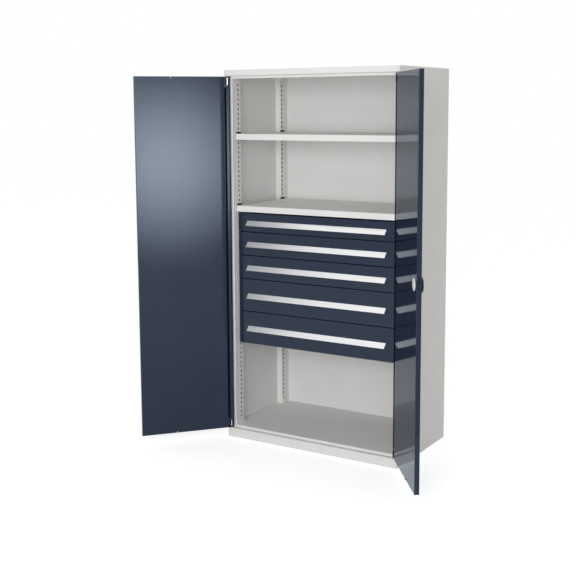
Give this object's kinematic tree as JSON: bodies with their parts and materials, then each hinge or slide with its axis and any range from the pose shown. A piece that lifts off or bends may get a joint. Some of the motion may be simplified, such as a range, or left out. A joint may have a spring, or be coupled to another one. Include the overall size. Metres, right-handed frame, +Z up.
{
  "type": "tool cabinet with doors",
  "caption": "Tall steel cabinet with two hinged doors, an adjustable shelf, a stack of full-width drawers on telescopic runners under a cover shelf, and a turning-handle lock.",
  "frame": {"origin": "on the floor, at the middle of the four floor anchor holes, which is the middle of the cabinet's footprint", "axes": "+Z up; the doors face -Y and the back panel faces +Y; +X to the right as seen from the front"},
  "size_m": [1.5973, 0.963, 1.95],
  "materials": {
    "body_paint": "light grey fine-textured powder coat",
    "door_paint": "dark blue-grey smooth powder coat",
    "zinc_steel": "bright zinc-plated steel",
    "grip_aluminium": "clear anodised, satin",
    "black_plastic": "fine-grained black",
    "guide_plastic": "natural moulded",
    "bright_chrome": "polished",
    "buffer_rubber": "grey",
    "black_steel": "black oxide"
  },
  "bodies": {
    "cabinet": {"left_side_panel": "body_paint", "right_side_panel": "body_paint", "back_panel": "body_paint", "roof_panel": "body_paint", "floor_panel": "body_paint", "plinth_boards": "body_paint", "floor_anchor_plates": "zinc_steel", "front_left_post": "body_paint", "front_right_post": "body_paint", "rear_left_post": "body_paint", "rear_right_post": "body_paint", "upper_shelf": "body_paint", "drawer_cover_shelf": "body_paint", "shelf_clips": "black_steel", "cabinet_runners": "zinc_steel", "hinge_pins": "zinc_steel"},
    "left_door": {"left_door_shell": "door_paint", "left_door_inner_panel": "door_paint", "left_door_hinge_blocks": "zinc_steel", "left_door_buffers": "buffer_rubber"},
    "right_door": {"right_door_shell": "door_paint", "right_door_inner_panel": "door_paint", "right_door_hinge_blocks": "zinc_steel", "right_door_buffers": "buffer_rubber", "lock_case": "zinc_steel", "lock_rosette": "black_plastic", "lock_cover_disc": "zinc_steel", "rod_guides": "guide_plastic"},
    "lock_handle": {"lock_handle": "black_plastic", "lock_spindle": "zinc_steel", "lock_crank": "zinc_steel"},
    "key_cylinder": {"key_cylinder": "bright_chrome"},
    "upper_lock_rod": {"upper_lock_rod": "zinc_steel"},
    "lower_lock_rod": {"lower_lock_rod": "zinc_steel"},
    "latch_bolt": {"latch_bolt": "black_steel"},
    "drawer_1": {"drawer_1_box": "door_paint", "drawer_1_front": "door_paint", "drawer_1_grip": "grip_aluminium", "drawer_1_rails": "zinc_steel"},
    "drawer_1_mid_runners": {"drawer_1_mid_runners": "zinc_steel"},
    "drawer_2": {"drawer_2_box": "door_paint", "drawer_2_front": "door_paint", "drawer_2_grip": "grip_aluminium", "drawer_2_rails": "zinc_steel"},
    "drawer_2_mid_runners": {"drawer_2_mid_runners": "zinc_steel"},
    "drawer_3": {"drawer_3_box": "door_paint", "drawer_3_front": "door_paint", "drawer_3_grip": "grip_aluminium", "drawer_3_rails": "zinc_steel"},
    "drawer_3_mid_runners": {"drawer_3_mid_runners": "zinc_steel"},
    "drawer_4": {"drawer_4_box": "door_paint", "drawer_4_front": "door_paint", "drawer_4_grip": "grip_aluminium", "drawer_4_rails": "zinc_steel"},
    "drawer_4_mid_runners": {"drawer_4_mid_runners": "zinc_steel"},
    "drawer_5": {"drawer_5_box": "door_paint", "drawer_5_front": "door_paint", "drawer_5_grip": "grip_aluminium", "drawer_5_rails": "zinc_steel"},
    "drawer_5_mid_runners": {"drawer_5_mid_runners": "zinc_steel"}
  },
  "joints": [
    {"name": "left_door_hinge", "type": "hinge", "parent": "cabinet", "child": "left_door", "pos_m": [-0.487, -0.279, 0], "axis": [0, 0, 1], "range_deg": [-49.4, 130.6]},
    {"name": "right_door_hinge", "type": "hinge", "parent": "cabinet", "child": "right_door", "pos_m": [0.487, -0.279, 0], "axis": [0, 0, -1], "range_deg": [-53, 127]},
    {"name": "lock_handle_turn", "type": "hinge", "parent": "right_door", "child": "lock_handle", "pos_m": [0.74698, -0.62401, 0.99], "axis": [0.7986, 0.6018, 0], "range_deg": [0, 90]},
    {"name": "key_turn", "type": "hinge", "parent": "lock_handle", "child": "key_cylinder", "pos_m": [0.74698, -0.62401, 0.99], "axis": [0.7986, 0.6018, 0], "range_deg": [0, 90]},
    {"name": "upper_rod_slide", "type": "slide", "parent": "right_door", "child": "upper_lock_rod", "axis": [0, 0, 1], "range_m": [0, 0.0198]},
    {"name": "lower_rod_slide", "type": "slide", "parent": "right_door", "child": "lower_lock_rod", "axis": [0, 0, -1], "range_m": [0, 0.0198]},
    {"name": "latch_slide", "type": "slide", "parent": "right_door", "child": "latch_bolt", "axis": [0.6018, -0.7986, 0], "range_m": [0, 0.0198]},
    {"name": "drawer_1_slide", "type": "slide", "parent": "cabinet", "child": "drawer_1", "axis": [0, 1, 0], "range_m": [-0.42, 0]},
    {"name": "drawer_1_runner_slide", "type": "slide", "parent": "cabinet", "child": "drawer_1_mid_runners", "axis": [0, 1, 0], "range_m": [-0.21, 0]},
    {"name": "drawer_2_slide", "type": "slide", "parent": "cabinet", "child": "drawer_2", "axis": [0, 1, 0], "range_m": [-0.42, 0]},
    {"name": "drawer_2_runner_slide", "type": "slide", "parent": "cabinet", "child": "drawer_2_mid_runners", "axis": [0, 1, 0], "range_m": [-0.21, 0]},
    {"name": "drawer_3_slide", "type": "slide", "parent": "cabinet", "child": "drawer_3", "axis": [0, 1, 0], "range_m": [-0.42, 0]},
    {"name": "drawer_3_runner_slide", "type": "slide", "parent": "cabinet", "child": "drawer_3_mid_runners", "axis": [0, 1, 0], "range_m": [-0.21, 0]},
    {"name": "drawer_4_slide", "type": "slide", "parent": "cabinet", "child": "drawer_4", "axis": [0, 1, 0], "range_m": [-0.42, 0]},
    {"name": "drawer_4_runner_slide", "type": "slide", "parent": "cabinet", "child": "drawer_4_mid_runners", "axis": [0, 1, 0], "range_m": [-0.21, 0]},
    {"name": "drawer_5_slide", "type": "slide", "parent": "cabinet", "child": "drawer_5", "axis": [0, 1, 0], "range_m": [-0.42, 0]},
    {"name": "drawer_5_runner_slide", "type": "slide", "parent": "cabinet", "child": "drawer_5_mid_runners", "axis": [0, 1, 0], "range_m": [-0.21, 0]}
  ],
  "couplings": [
    {"joint": "upper_rod_slide", "follows": "lock_handle_turn", "m_per_rad": 0.0126},
    {"joint": "lower_rod_slide", "follows": "lock_handle_turn", "m_per_rad": 0.0126},
    {"joint": "latch_slide", "follows": "lock_handle_turn", "m_per_rad": 0.0126},
    {"joint": "drawer_1_runner_slide", "follows": "drawer_1_slide", "ratio": 0.5},
    {"joint": "drawer_2_runner_slide", "follows": "drawer_2_slide", "ratio": 0.5},
    {"joint": "drawer_3_runner_slide", "follows": "drawer_3_slide", "ratio": 0.5},
    {"joint": "drawer_4_runner_slide", "follows": "drawer_4_slide", "ratio": 0.5},
    {"joint": "drawer_5_runner_slide", "follows": "drawer_5_slide", "ratio": 0.5}
  ]
}
